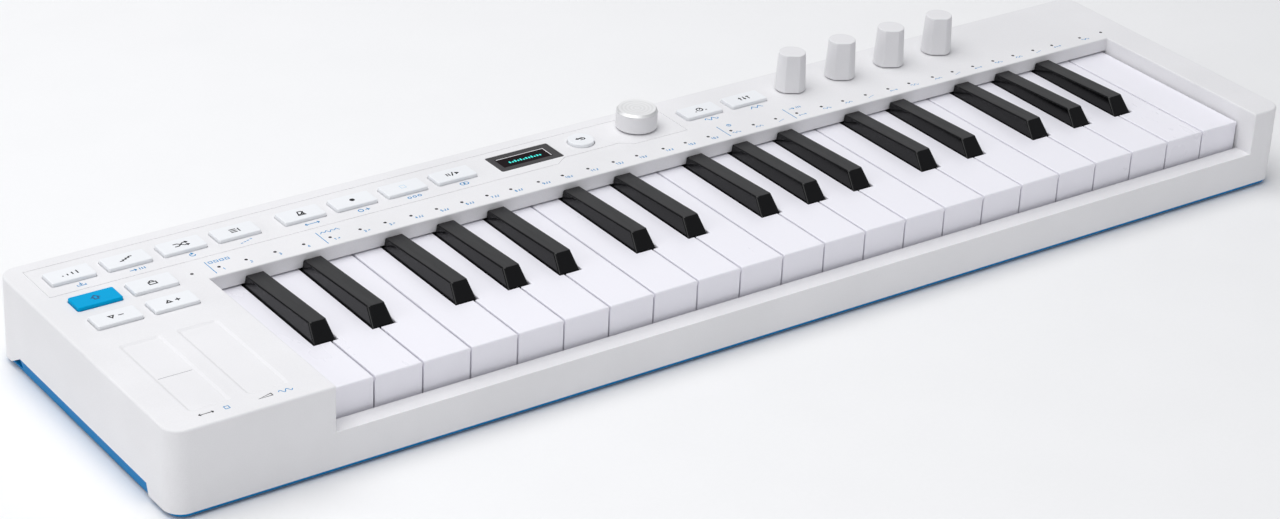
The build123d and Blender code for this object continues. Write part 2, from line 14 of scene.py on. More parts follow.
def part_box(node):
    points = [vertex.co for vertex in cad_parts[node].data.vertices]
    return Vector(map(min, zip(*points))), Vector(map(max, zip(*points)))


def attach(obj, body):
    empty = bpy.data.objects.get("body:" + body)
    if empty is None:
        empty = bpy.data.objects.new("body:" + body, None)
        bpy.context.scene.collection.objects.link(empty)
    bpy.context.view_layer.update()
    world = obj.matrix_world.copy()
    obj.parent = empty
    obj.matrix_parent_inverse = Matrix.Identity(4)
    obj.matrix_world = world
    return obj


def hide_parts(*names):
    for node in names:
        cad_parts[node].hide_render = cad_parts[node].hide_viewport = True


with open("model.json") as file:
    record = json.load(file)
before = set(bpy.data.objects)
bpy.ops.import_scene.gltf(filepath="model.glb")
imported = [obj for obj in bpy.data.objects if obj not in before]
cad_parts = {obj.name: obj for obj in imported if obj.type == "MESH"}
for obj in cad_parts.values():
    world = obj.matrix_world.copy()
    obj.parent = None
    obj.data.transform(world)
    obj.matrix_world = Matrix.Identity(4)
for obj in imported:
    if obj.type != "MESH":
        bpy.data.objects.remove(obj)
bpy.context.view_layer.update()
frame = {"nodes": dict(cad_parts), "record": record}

MM = 0.001
NODES = frame["nodes"]
MOUNTS = {mount["name"]: mount for mount in frame["record"].get("mounts", [])}

panel_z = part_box("top_shell")[1].z
rear_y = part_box("top_shell")[1].y
print_height = 0.03 * MM
print_sink = 0.05 * MM
glow_strength = 0.9


# ================================================================ surfaces
def make_piece(name, parts, material, body, smooth=False):
    """One mesh from several (corners, faces) parts, riding on a body."""
    corners, faces, first = [], [], 0
    for part_corners, part_faces in parts:
        corners.append(np.asarray(part_corners, float))
        faces += [[first + index for index in face] for face in part_faces]
        first += len(part_corners)
    mesh = bpy.data.meshes.new(name)
    mesh.from_pydata(np.concatenate(corners).tolist(), [], faces)
    mesh.materials.append(material)
    mesh.polygons.foreach_set("use_smooth", [smooth] * len(mesh.polygons))
    mesh.update()
    piece = bpy.data.objects.new(name, mesh)
    bpy.context.scene.collection.objects.link(piece)
    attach(piece, body)
    return piece


def quads(rows, columns, close_rows=False):
    """Faces of a grid whose columns run round a closed loop, from one row to the next."""
    row = np.arange(rows if close_rows else rows - 1)[:, None]
    column = np.arange(columns)[None, :]
    after, beside = (row + 1) % rows, (column + 1) % columns
    ring = np.stack(
        (row * columns + column, after * columns + column, after * columns + beside, row * columns + beside),
        axis=-1,
    )
    return ring.reshape(-1, 4).tolist()


def unit(vectors):
    """Each row divided by its own length."""
    return vectors / np.maximum(np.linalg.norm(vectors, axis=-1, keepdims=True), 1e-12)


def line_bar(path, width, low, high):
    """A flat bar carried along a path: at each point the section's four corners stand half the width to
    either side, along the mitre of the two neighbouring steps, at the low and at the high level. A path
    that ends where it starts closes into a loop."""
    path = np.asarray(path, float)
    closed = np.allclose(path[0], path[-1])
    if closed:
        path = path[:-1]
    ahead = unit(np.roll(path, -1, axis=0) - path)
    if not closed:
        ahead[-1] = ahead[-2]
    behind = np.roll(ahead, 1, axis=0)
    if not closed:
        behind[0] = ahead[0]
    mitre = unit(ahead + behind)
    reach = width / 2 / np.maximum((mitre * ahead).sum(axis=1), 0.45)
    side = np.stack((mitre[:, 1], -mitre[:, 0]), axis=1) * reach[:, None]
    right, left = path + side, path - side
    section = [np.column_stack((edge, np.full(len(path), level))) for edge, level in (
        (right, low), (right, high), (left, high), (left, low)
    )]
    corners = np.stack(section, axis=1).reshape(-1, 3)
    faces = quads(len(path), 4, close_rows=closed)
    if not closed:
        last = 4 * (len(path) - 1)
        faces += [[0, 1, 2, 3], [last + 3, last + 2, last + 1, last]]
    return corners, faces


def flat_plate(outline, low, high):
    """A plate with the outline of a polygon, given anticlockwise, between two levels."""
    outline = np.asarray(outline, float)
    count = len(outline)
    levels = [np.column_stack((outline, np.full(count, level))) for level in (high, low)]
    faces = quads(2, count) + [list(range(count)), list(range(2 * count - 1, count - 1, -1))]
    return np.concatenate(levels), faces


def turned(profile, centre, sides, along_y=False):
    """A surface of revolution: each (radius, height) of the profile goes round the axis in equal steps
    of angle. The profile runs from the top down the outside; a radius of nought is one point on the axis.
    Along Y, height is measured rearwards. A profile that ends where it starts closes into a loop."""
    angle = np.arange(sides) * 2 * math.pi / sides
    corners, rows = [], []
    for radius, height in profile:
        rows.append((len(corners), 1 if radius == 0 else sides))
        if radius == 0:
            corners.append((0.0, 0.0, height))
        else:
            corners += np.column_stack(
                (radius * np.cos(angle), radius * np.sin(angle), np.full(sides, height))
            ).tolist()
    faces = []
    pairs = list(zip(rows, rows[1:]))
    if profile[0] == profile[-1]:
        corners = corners[:-sides]
        pairs[-1] = (rows[-2], rows[0])
    for (top, top_count), (low, low_count) in pairs:
        for step in range(sides):
            beside = (step + 1) % sides
            face = [
                top + step % top_count, low + step % low_count,
                low + beside % low_count, top + beside % top_count,
            ]
            faces.append(list(dict.fromkeys(face)))
    corners = np.asarray(corners)
    if along_y:
        corners = np.column_stack((-corners[:, 0], corners[:, 2], corners[:, 1]))
    return corners + np.asarray(centre, float), faces


def ring(radius, x=0.0, y=0.0, start=0.0, turn=360.0, count=24):
    """Points on a circle about (x, y), from the start angle through the turn, in degrees."""
    angle = np.radians(start + turn * np.linspace(0, 1, count + 1))
    return np.column_stack((x + radius * np.cos(angle), y + radius * np.sin(angle))).tolist()


# ================================================================ node helpers
def new_material(name, values):
    """A material with one Principled shader, and its uniform values."""
    material = bpy.data.materials.new(name)
    material.use_nodes = True
    shader = material.node_tree.nodes["Principled BSDF"]
    for socket, value in values.items():
        shader.inputs[socket].default_value = value
    return material, shader


def add_node(material, kind, inputs=None, **settings):
    """A shader node with its settings, and inputs that are values or other nodes' sockets."""
    node = material.node_tree.nodes.new("ShaderNode" + kind)
    for setting, value in settings.items():
        setattr(node, setting, value)
    for socket, value in (inputs or {}).items():
        if isinstance(value, bpy.types.NodeSocket):
            material.node_tree.links.new(value, node.inputs[socket])
        else:
            node.inputs[socket].default_value = value
    return node


def place_of(material, stretch=(1.0, 1.0, 1.0), shift=(0.0, 0.0, 0.0)):
    """Object coordinates in metres, moved and stretched."""
    coordinate = add_node(material, "TexCoord")
    mapping = add_node(
        material, "Mapping", {"Vector": coordinate.outputs["Object"], "Scale": stretch, "Location": shift}
    )
    return mapping.outputs["Vector"]


def noise_of(material, place, scale, detail=3.0, roughness=0.5):
    """Fractal noise with this many lumps to the metre."""
    return add_node(
        material, "TexNoise", {"Vector": place, "Scale": scale, "Detail": detail, "Roughness": roughness}
    ).outputs["Fac"]


def remap(material, value, low, high, to_low, to_high):
    """A value carried from one span to another and held at its ends."""
    return add_node(
        material, "MapRange",
        {"Value": value, "From Min": low, "From Max": high, "To Min": to_low, "To Max": to_high},
    ).outputs["Result"]


def calculate(material, operation, first, second):
    """One arithmetic step."""
    node = add_node(material, "Math", {0: first, 1: second}, operation=operation)
    return node.outputs["Value"]


def mix_colours(material, share, first, second):
    """The first colour where the share is nought, the second where it is one."""
    node = add_node(material, "Mix", data_type="RGBA")
    for index, value in ((0, share), (6, first), (7, second)):
        if isinstance(value, bpy.types.NodeSocket):
            material.node_tree.links.new(value, node.inputs[index])
        else:
            node.inputs[index].default_value = value
    return node.outputs[2]


def bumps(material, shader, layers):
    """Heights in metres, one bump after another: (height socket, distance)."""
    normal = None
    for height, distance in layers:
        inputs = {"Height": height, "Distance": distance, "Strength": 1.0}
        if normal is not None:
            inputs["Normal"] = normal
        normal = add_node(material, "Bump", inputs).outputs["Normal"]
    material.node_tree.links.new(normal, shader.inputs["Normal"])


def shade(colour, factor):
    """A colour made lighter or darker by a factor."""
    return tuple(min(1.0, channel * factor) for channel in colour[:3]) + (1.0,)


def moulded(
    name, colour, roughness, grain=0.35, grain_depth=0.004, drift=0.03, gloss=0.05, coat=0.0,
    flow=(1.0, 1.0, 1.0), specular=0.5, shift=(0.0, 0.0, 0.0), rub=0.5,
):
    """Injection-moulded plastic. The colour drifts by a few hundredths over centimetres, the gloss over the
    same patches and over finer handling marks, and a spark-eroded grain stands on a slight unevenness of
    the wall. Grain is its size and grain_depth its height, in millimetres; flow stretches the patches."""
    material, shader = new_material(
        name, {"Specular IOR Level": specular, "Coat Weight": coat, "Coat Roughness": 0.12}
    )
    wide = place_of(material, flow, shift)
    patches = noise_of(material, wide, 22.0, 4.0)
    handling = noise_of(material, place_of(material, (1.0, 0.35, 1.0), shift), 190.0, 5.0, 0.62)
    fine = place_of(material, shift=shift)
    grain_noise = noise_of(material, fine, 1000.0 / grain, 2.0, 0.55)
    speckle = remap(material, grain_noise, 0.32, 0.68, -0.35, 0.35)
    tone = calculate(material, "ADD", remap(material, patches, 0.3, 0.7, 0.0, 1.0), speckle)
    body = mix_colours(material, tone, shade(colour, 1.0 - drift), shade(colour, 1.0 + drift))
    material.node_tree.links.new(body, shader.inputs["Base Color"])
    drifted = remap(material, patches, 0.3, 0.7, roughness - gloss, roughness + gloss)
    rubbed = remap(material, handling, 0.56, 0.74, 0.0, -rub * gloss)
    material.node_tree.links.new(calculate(material, "ADD", drifted, rubbed), shader.inputs["Roughness"])
    bumps(material, shader, [(patches, 0.05 * MM), (grain_noise, grain_depth * MM)])
    return material, shader


# ================================================================ finishes
shell_white, _ = moulded("shell_white", (0.83, 0.825, 0.84), 0.50, grain=0.40, grain_depth=0.006)
base_blue, _ = moulded(
    "base_blue", (0.0, 0.205, 0.50), 0.50, grain=0.45, grain_depth=0.008, drift=0.06, specular=0.10
)
chassis_grey, _ = moulded("chassis_grey", (0.10, 0.10, 0.11), 0.55, grain=0.6, grain_depth=0.01)
button_white, _ = moulded(
    "button_white", (0.86, 0.875, 0.90), 0.42, grain=0.25, grain_depth=0.002, drift=0.015, gloss=0.04
)
button_blue, _ = moulded(
    "button_blue", (0.0, 0.37, 0.70), 0.48, grain=0.25, grain_depth=0.002, drift=0.03, gloss=0.04,
    specular=0.04,
)
knob_white, _ = moulded(
    "knob_white", (0.80, 0.795, 0.81), 0.55, grain=0.30, grain_depth=0.004, drift=0.015, specular=0.4
)
key_white, _ = moulded(
    "key_white", (0.91, 0.90, 0.96), 0.30, grain=0.9, grain_depth=0.0015, drift=0.008, gloss=0.03,
    coat=0.15, flow=(1.0, 0.25, 1.0),
)
foot_rubber, _ = moulded(
    "foot_rubber", (0.03, 0.03, 0.032), 0.78, grain=0.5, grain_depth=0.02, drift=0.12, specular=0.3
)
contact_rubber, _ = moulded(
    "contact_rubber", (0.25, 0.25, 0.26), 0.62, grain=0.4, grain_depth=0.01, drift=0.06, specular=0.35
)
socket_black, _ = moulded(
    "socket_black", (0.022, 0.022, 0.024), 0.42, grain=0.35, grain_depth=0.006, drift=0.1
)
print_dark, _ = moulded(
    "print_dark", (0.008, 0.008, 0.011), 0.60, specular=0.2, grain=0.12, grain_depth=0.001, drift=0.1
)
print_blue, _ = moulded(
    "print_blue", (0.0, 0.25, 0.55), 0.60, specular=0.05, grain=0.12, grain_depth=0.001, drift=0.08
)
print_pale, _ = moulded(
    "print_pale", (0.56, 0.72, 0.84), 0.55, grain=0.12, grain_depth=0.001, drift=0.05
)
print_grey, _ = moulded(
    "print_grey", (0.36, 0.36, 0.38), 0.55, grain=0.12, grain_depth=0.001, drift=0.06
)
print_navy, _ = moulded(
    "print_navy", (0.0, 0.06, 0.20), 0.5, grain=0.12, grain_depth=0.001, drift=0.06
)


def black_key_finish():
    """Black key plastic: the top is spark-eroded and satin, the sides and the nose are polished. How far a
    face looks upwards decides which, through its own normal. The base colour is split the same way into lit
    and
    shaded copies: a painted sheen lightens the top, and a painted shade darkens the sides and the nose."""
    material, shader = new_material(
        "key_black", {"Specular IOR Level": 0.36}
    )
    coordinate = add_node(material, "TexCoord")
    upward = add_node(material, "SeparateXYZ", {"Vector": coordinate.outputs["Normal"]}).outputs["Z"]
    top = remap(material, upward, 0.80, 0.97, 0.0, 1.0)
    streaks = noise_of(material, place_of(material, (1.0, 0.12, 1.0)), 420.0, 4.0, 0.6)
    grain = noise_of(material, place_of(material), 2800.0, 2.0)
    satin = remap(material, streaks, 0.3, 0.7, 0.38, 0.47)
    polished = remap(material, streaks, 0.3, 0.7, 0.10, 0.17)
    difference = calculate(material, "SUBTRACT", satin, polished)
    roughness = calculate(material, "ADD", polished, calculate(material, "MULTIPLY", difference, top))
    material.node_tree.links.new(roughness, shader.inputs["Roughness"])
    # lit and shaded copies of one black: the sides and nose get a darker tone as painted shade, and upward
    # faces get a lighter tone as a painted sheen
    tone = mix_colours(material, streaks, (0.0015, 0.0015, 0.0018, 1), (0.0030, 0.0030, 0.0034, 1))
    painted_sheen_tone = mix_colours(material, streaks, (0.008, 0.008, 0.009, 1), (0.014, 0.014, 0.015, 1))
    body = mix_colours(material, top, tone, painted_sheen_tone)
    material.node_tree.links.new(body, shader.inputs["Base Color"])
    bumps(material, shader, [(calculate(material, "MULTIPLY", grain, top), 0.010 * MM)])
    return material


def machined_metal(name, colour, roughness, centre=(0.0, 0.0), pitch=0.28, depth=0.004):
    """Metal turned on a lathe: fine grooves are rings about an upright axis, a slow drift of the gloss
    follows them, and short scratches cross them."""
    material, shader = new_material(name, {"Metallic": 1.0})
    shift = (-centre[0], -centre[1], 0.0)
    rings = add_node(
        material, "TexWave",
        {"Vector": place_of(material, shift=shift), "Scale": 1000.0 / pitch / 20, "Distortion": 0.4},
        wave_type="RINGS", rings_direction="Z",
    ).outputs["Fac"]
    patches = noise_of(material, place_of(material, shift=shift), 160.0, 4.0)
    scratches = noise_of(material, place_of(material, (1.0, 0.06, 1.0), shift), 2400.0, 3.0)
    tone = mix_colours(material, rings, shade(colour, 0.94), shade(colour, 1.04))
    material.node_tree.links.new(tone, shader.inputs["Base Color"])
    spread = calculate(
        material, "ADD",
        remap(material, patches, 0.3, 0.7, roughness - 0.04, roughness + 0.05),
        remap(material, scratches, 0.58, 0.75, 0.0, 0.08),
    )
    material.node_tree.links.new(spread, shader.inputs["Roughness"])
    bumps(material, shader, [(rings, depth * MM), (scratches, 0.001 * MM)])
    return material


def board_finish():
    """Circuit board: solder mask with copper tracks on a 1.3 mm grid showing through as a lighter green."""
    material, shader = new_material("board_green", {"Coat Weight": 0.35, "Coat Roughness": 0.2})
    place = place_of(material)
    cells = add_node(
        material, "TexBrick",
        {"Vector": place, "Scale": 380.0, "Mortar Size": 0.14, "Mortar Smooth": 0.2, "Bias": 0.1},
    ).outputs["Fac"]
    patches = noise_of(material, place, 90.0, 4.0)
    tracks = calculate(material, "MULTIPLY", cells, remap(material, patches, 0.45, 0.6, 0.0, 1.0))
    tone = mix_colours(material, tracks, (0.006, 0.075, 0.030, 1), (0.03, 0.20, 0.07, 1))
    material.node_tree.links.new(tone, shader.inputs["Base Color"])
    material.node_tree.links.new(remap(material, patches, 0.3, 0.7, 0.30, 0.42), shader.inputs["Roughness"])
    bumps(material, shader, [(tracks, 0.03 * MM)])
    return material


def glass_finish(name, colour, roughness, glow=None, specular=0.25, coat=0.12):
    """Dark glass: smooth, with wiped streaks that change the gloss and a few specks of dust."""
    material, shader = new_material(
        name, {"Specular IOR Level": specular, "Coat Weight": coat, "Coat Roughness": 0.05}
    )
    wiped = noise_of(material, place_of(material, (0.3, 1.0, 1.0)), 260.0, 5.0)
    dust = noise_of(material, place_of(material), 2600.0, 1.0)
    specks = remap(material, dust, 0.72, 0.78, 0.0, 1.0)
    tone = mix_colours(material, specks, shade(colour, 1.0), shade(colour, 2.2))
    material.node_tree.links.new(tone, shader.inputs["Base Color"])
    spread = calculate(
        material, "ADD", remap(material, wiped, 0.3, 0.7, roughness, roughness + 0.08),
        calculate(material, "MULTIPLY", specks, 0.2),
    )
    material.node_tree.links.new(spread, shader.inputs["Roughness"])
    bumps(material, shader, [(wiped, 0.002 * MM)])
    if glow:
        shader.inputs["Emission Color"].default_value = glow
        shader.inputs["Emission Strength"].default_value = glow_strength
    return material


key_black = black_key_finish()
encoder_low, encoder_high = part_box("encoder_knob")
encoder_centre = ((encoder_low.x + encoder_high.x) / 2, (encoder_low.y + encoder_high.y) / 2)
spun_silver = machined_metal("spun_silver", (0.98, 0.98, 0.975), 0.56, encoder_centre)
rod_steel = machined_metal("rod_steel", (0.55, 0.55, 0.57), 0.30)
screw_steel = machined_metal("screw_steel", (0.10, 0.10, 0.11), 0.38)
socket_nickel = machined_metal("socket_nickel", (0.66, 0.65, 0.62), 0.26)
board_green = board_finish()
display_black = glass_finish("display_black", (0.034, 0.031, 0.034), 0.42)
display_active = glass_finish("display_active", (0.006, 0.0015, 0.003), 0.30, specular=0.03, coat=0.0)
display_cyan = glass_finish("display_cyan", (0.02, 0.30, 0.28), 0.20, (0.03, 0.90, 0.80, 1.0))
led_smoke = glass_finish("led_smoke", (0.035, 0.030, 0.034), 0.22)

node_finishes = {
    "top_shell": shell_white, "base_shell": base_blue, "key_chassis": chassis_grey,
    "key_pivot_rod": rod_steel, "key_contact_strip": contact_rubber, "circuit_boards": board_green,
    "display_window": display_black, "rear_sockets": socket_black, "rubber_feet": foot_rubber,
    "case_screws": screw_steel, "shift_button": button_blue, "encoder_plunger": socket_black,
}
for name, node in NODES.items():
    finish = node_finishes.get(name)
    if finish is None and name.startswith("white_key"):
        finish = key_white
    if finish is None and name.startswith("black_key"):
        finish = key_black
    if finish is None and name.startswith("parameter_knob"):
        finish = knob_white
    if finish is None:
        finish = button_white
    if not node.data.materials:
        node.data.materials.append(finish)
    for slot in node.material_slots:
        slot.material = finish

# ================================================================ marks
# icons in millimetres about their own centre: strokes are open or closed paths, fills are outlines
steps_icon = [[(-2.7 + 1.8 * k, -1.1), (-2.7 + 1.8 * k, -0.5 + 0.55 * k)] for k in range(4)]
climb_icon = [[(-2.6, -1), (-1.3, -1), (-1.3, -0.35), (0, -0.35), (0, 0.35), (1.3, 0.35), (1.3, 1), (2.6, 1)]]
shuffle_icon = [
    [(-2.6, -0.9), (-1.1, -0.9), (0.9, 0.9), (2.5, 0.9)],
    [(-2.6, 0.9), (-1.1, 0.9), (0.9, -0.9), (2.5, -0.9)],
    [(1.8, 1.5), (2.6, 0.9), (1.8, 0.3)],
    [(1.8, -0.3), (2.6, -0.9), (1.8, -1.5)],
]
stack_icon = [[(-1.9, y), (0.6, y)] for y in (-1.0, 0.0, 1.0)] + [[(1.4, -1.2), (1.4, 1.2)]]
latch_icon = [
    [(-1.3, -1.3), (1.3, -1.3), (1.3, 0.2), (-1.3, 0.2), (-1.3, -1.3)],
    ring(0.8, 0, 0.3, 0, 180, 10),
]
raise_icon = [
    [(0, 1.5), (1.6, 0), (0.8, 0), (0.8, -1.3), (-0.8, -1.3), (-0.8, 0), (-1.6, 0), (0, 1.5)],
]
minus_icon = [[(0.9, 0), (2.7, 0)], [(-2.4, 0.7), (-0.6, 0.7), (-1.5, -0.8), (-2.4, 0.7)]]
plus_icon = [
    [(0.9, 0), (2.7, 0)], [(1.8, -0.9), (1.8, 0.9)], [(-2.4, -0.7), (-0.6, -0.7), (-1.5, 0.8), (-2.4, -0.7)],
]
metronome_icon = [
    [(-1.3, -1.3), (1.3, -1.3), (0.65, 1.3), (-0.65, 1.3), (-1.3, -1.3)],
    [(-0.1, -0.8), (1.35, 1.1)], [(-1.0, -0.7), (1.0, -0.7)],
]
stop_icon = [[(-0.95, -0.95), (0.95, -0.95), (0.95, 0.95), (-0.95, 0.95), (-0.95, -0.95)]]
play_icon = [[(-2.3, -0.9), (-2.3, 0.9)], [(-1.4, -0.9), (-1.4, 0.9)], [(-0.7, -1.3), (0.5, 1.3)]]
dial_icon = [ring(1.2), [(0, 0), (0.75, 0.8)], [(1.9, -1.1), (2.6, -1.1)], [(-1.9, -1.1), (-2.6, -1.1)]]
sliders_icon = [[(x, -1.2), (x, 1.2)] for x in (-1.8, 0.0, 1.8)]
sliders_icon += [[(x - 0.6, y), (x + 0.6, y)] for x, y in ((-1.8, 0.4), (0.0, -0.5), (1.8, 0.7))]
return_icon = [
    [(-1.7, 0.5), (0.9, 0.5)] + ring(0.6, 0.9, -0.1, 90, -180, 8) + [(-0.6, -0.7)],
    [(-1.0, 1.1), (-1.7, 0.5), (-1.0, -0.1)],
]

tray_icon = [
    [(-1.3, -0.2), (-1.3, -0.9), (1.3, -0.9), (1.3, -0.2)], [(0, 1.0), (0, -0.3)],
    [(-0.5, 0.2), (0, -0.35), (0.5, 0.2)],
]
into_icon = [[(-2.4, 0), (-0.3, 0)], [(-0.9, 0.6), (-0.3, 0), (-0.9, -0.6)]]
into_icon += [[(x, -0.6), (x, 0.6)] for x in (0.8, 1.6, 2.4)]
reset_icon = [ring(0.85, 0, 0, 60, 290, 18), [(0.0, 1.4), (0.5, 0.7), (-0.3, 0.3)]]
ladder_icon = [[(-2.4 + 1.2 * k, -0.8 + 0.4 * k), (-1.6 + 1.2 * k, -0.8 + 0.4 * k)] for k in range(4)]
length_icon = [
    [(-2.4, 0), (2.4, 0)], [(-1.8, 0.6), (-2.4, 0), (-1.8, -0.6)], [(1.8, 0.6), (2.4, 0), (1.8, -0.6)],
]
layer_icon = [ring(0.8, -1.1), [(0.5, 0), (2.1, 0)], [(1.3, -0.8), (1.3, 0.8)]]
channel_icon = [ring(0.55, x) for x in (-1.8, 0.0, 1.8)]
chain_icon = [ring(0.8, -0.65), ring(0.8, 0.65)]
wave_icon = [[(0.25 * k - 2.5, 0.8 * math.sin(k * math.pi / 5)) for k in range(21)]]
ramp_icon = [[(-2.4, -0.7), (-1.2, 0.7), (0, -0.7), (1.2, 0.7), (2.4, -0.7)]]
bank_icon = [
    [(x - 0.6, -0.6), (x + 0.6, -0.6), (x + 0.6, 0.6), (x - 0.6, 0.6), (x - 0.6, -0.6)]
    for x in (-3.0, -1.0, 1.0, 3.0)
]
pattern_icon = [[(-3.6 + 0.9 * k, (-0.6, 0.6, -0.2, 0.8)[k % 4]) for k in range(9)]]
rate_icon = [ring(0.75), [(0, 0.5), (0, 0), (0.4, 0)]]
note_icon = [ring(0.3, -0.25, -0.55, 0, 360, 8), [(0.05, -0.5), (0.05, 0.7), (0.5, 0.35)]]
arrow_icon = [[(-0.5, -0.5), (0.5, 0.5)], [(-0.1, 0.5), (0.5, 0.5), (0.5, -0.1)]]
bend_icon = [
    [(-2.5, 0), (2.5, 0)], [(-1.9, 0.6), (-2.5, 0), (-1.9, -0.6)], [(1.9, 0.6), (2.5, 0), (1.9, -0.6)],
]
depth_icon = [[(-2.4, -0.6), (2.4, -0.6), (2.4, 0.7), (-2.4, -0.6)]]

# digits on a grid one wide and two high
digit_strokes = {
    "0": [[(0.3, 0), (0, 0.4), (0, 1.6), (0.3, 2), (0.7, 2), (1, 1.6), (1, 0.4), (0.7, 0), (0.3, 0)]],
    "1": [[(0.1, 1.6), (0.55, 2), (0.55, 0)]],
    "2": [[(0, 1.6), (0.3, 2), (0.7, 2), (1, 1.6), (1, 1.2), (0, 0), (1, 0)]],
    "3": [[(0, 1.7), (0.3, 2), (0.7, 2), (1, 1.6), (0.9, 1.2), (0.5, 1.05)],
          [(0.5, 1.05), (1, 0.8), (1, 0.3), (0.7, 0), (0.3, 0), (0, 0.3)]],
    "4": [[(0.75, 0), (0.75, 2), (0, 0.6), (1.05, 0.6)]],
    "5": [[(1, 2), (0.1, 2), (0.05, 1.1), (0.7, 1.2), (1, 0.85), (1, 0.35), (0.7, 0), (0.3, 0), (0, 0.3)]],
    "6": [[(0.9, 1.8), (0.6, 2), (0.3, 2), (0, 1.5), (0, 0.35), (0.3, 0), (0.7, 0), (1, 0.35), (1, 0.8),
           (0.7, 1.1), (0.3, 1.1), (0, 0.8)]],
    "7": [[(0, 2), (1, 2), (0.4, 0)]],
    "8": [[(0.5, 1.05), (0.1, 1.4), (0.3, 2), (0.7, 2), (0.9, 1.4), (0.5, 1.05), (1, 0.6), (0.75, 0),
           (0.25, 0), (0, 0.6), (0.5, 1.05)]],
    "9": [[(0.1, 0.2), (0.4, 0), (0.7, 0), (1, 0.5), (1, 1.65), (0.7, 2), (0.3, 2), (0, 1.65), (0, 1.2),
           (0.3, 0.9), (0.7, 0.9), (1, 1.2)]],
}


def number_strokes(number, height):
    """Strokes of a whole number, centred, with each digit two thirds as wide as it is high."""
    scale = height / 2
    pitch = 1.7
    text = str(number)
    start = -(len(text) * pitch - 0.7) / 2
    return [
        [((start + place * pitch + x) * scale, (y - 1) * scale) for x, y in path]
        for place, digit in enumerate(text)
        for path in digit_strokes[digit]
    ]


def drawn(strokes, centre, level, width, size=1.0):
    """Bars for an icon's strokes about a centre in metres, printed on a level surface."""
    return [
        line_bar(
            np.asarray(path) * size * MM + np.asarray(centre), width * MM,
            level - print_sink, level + print_height,
        )
        for path in strokes
    ]


def filled(outline, centre, level, size=1.0):
    """A filled printed shape."""
    return flat_plate(
        np.asarray(outline) * size * MM + np.asarray(centre), level - print_sink, level + print_height
    )


def cap_centres(node, count):
    """Centres of equal caps in a row: the first and the last stand half a cap in from the node's ends."""
    low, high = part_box(node)
    half = cap_width / 2 if count > 1 else (high.x - low.x) / 2
    return [
        (x, (low.y + high.y) / 2) for x in np.linspace(low.x + half, high.x - half, count).tolist()
    ]


cap_low, cap_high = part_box("shift_button")
cap_width = cap_high.x - cap_low.x
cap_z = cap_high.z
icon_width = 0.58
icon_size = 1.25
cap_rows = {
    "mode_buttons": [steps_icon, climb_icon, shuffle_icon, stack_icon],
    "transport_buttons": [metronome_icon, [], [], play_icon],
    "controller_buttons": [dial_icon, sliders_icon],
    "hold_button": [latch_icon],
    "octave_buttons": [minus_icon, plus_icon],
    "back_button": [return_icon],
}
centres = {name: cap_centres(name, len(icons)) for name, icons in cap_rows.items()}
record_disc = ring(0.95, count=28)[:-1]
play_head = [(1.1, -0.95), (2.8, 0.0), (1.1, 0.95)]
for name, icons in cap_rows.items():
    marks = []
    for icon, centre in zip(icons, centres[name]):
        marks += drawn(icon, centre, cap_z, icon_width, icon_size)
    if name == "transport_buttons":
        marks.append(filled(record_disc, centres[name][1], cap_z, icon_size))
        marks.append(filled(play_head, centres[name][3], cap_z, icon_size))
    make_piece(f"{name}_marks", marks, print_dark, name)
make_piece(
    "stop_mark", drawn(stop_icon, centres["transport_buttons"][2], cap_z, 0.34, icon_size), print_pale,
    "transport_buttons",
)
make_piece(
    "shift_button_mark", drawn(raise_icon, cap_centres("shift_button", 1)[0], cap_z, icon_width, 1.1),
    print_navy, "shift_button",
)

# second functions, in blue on the panel in front of the caps
label_drop = 8.0 * MM
label_shift = 1.2 * MM
label_width = 0.42
label_size = 1.4
label_rows = {
    "mode_buttons": [tray_icon, into_icon, reset_icon, ladder_icon],
    "transport_buttons": [length_icon, layer_icon, channel_icon, chain_icon],
    "controller_buttons": [wave_icon, ramp_icon],
}
labels = []
for name, icons in label_rows.items():
    for icon, (x, y) in zip(icons, centres[name]):
        labels += drawn(icon, (x + label_shift, y - label_drop), panel_z, label_width, label_size)


# the row of lamps over the keys: one on the middle of each key's stem, and one beyond each end
bay_rear = 40.0 * MM


def stem_centre(node):
    """Middle of the part of a key that lies behind the key bay."""
    corners = np.empty(len(node.data.vertices) * 3)
    node.data.vertices.foreach_get("co", corners)
    corners = corners.reshape(-1, 3)
    stem = corners[corners[:, 1] > bay_rear]
    return float(stem[:, 0].min() + stem[:, 0].max()) / 2


stems = sorted(stem_centre(node) for name, node in NODES.items() if "_key_" in name)
lamp_y = 33.6 * MM
end_lamps = (stems[0] - 12.5 * MM, stems[-1] + 14.0 * MM)
lamp_radius = 0.78 * MM
lamp_rise = 0.16 * MM
lamp_profile = [(0, lamp_rise)] + [
    (lamp_radius * math.sin(step * math.pi / 8), lamp_rise * math.cos(step * math.pi / 8))
    for step in (1, 2, 3, 4)
] + [(lamp_radius, -print_sink), (0, -print_sink)]
lamps = [turned(lamp_profile, (x, lamp_y, panel_z), 14) for x in [end_lamps[0], *stems, end_lamps[1]]]
make_piece("lamp_lenses", lamps, led_smoke, "case", smooth=True)

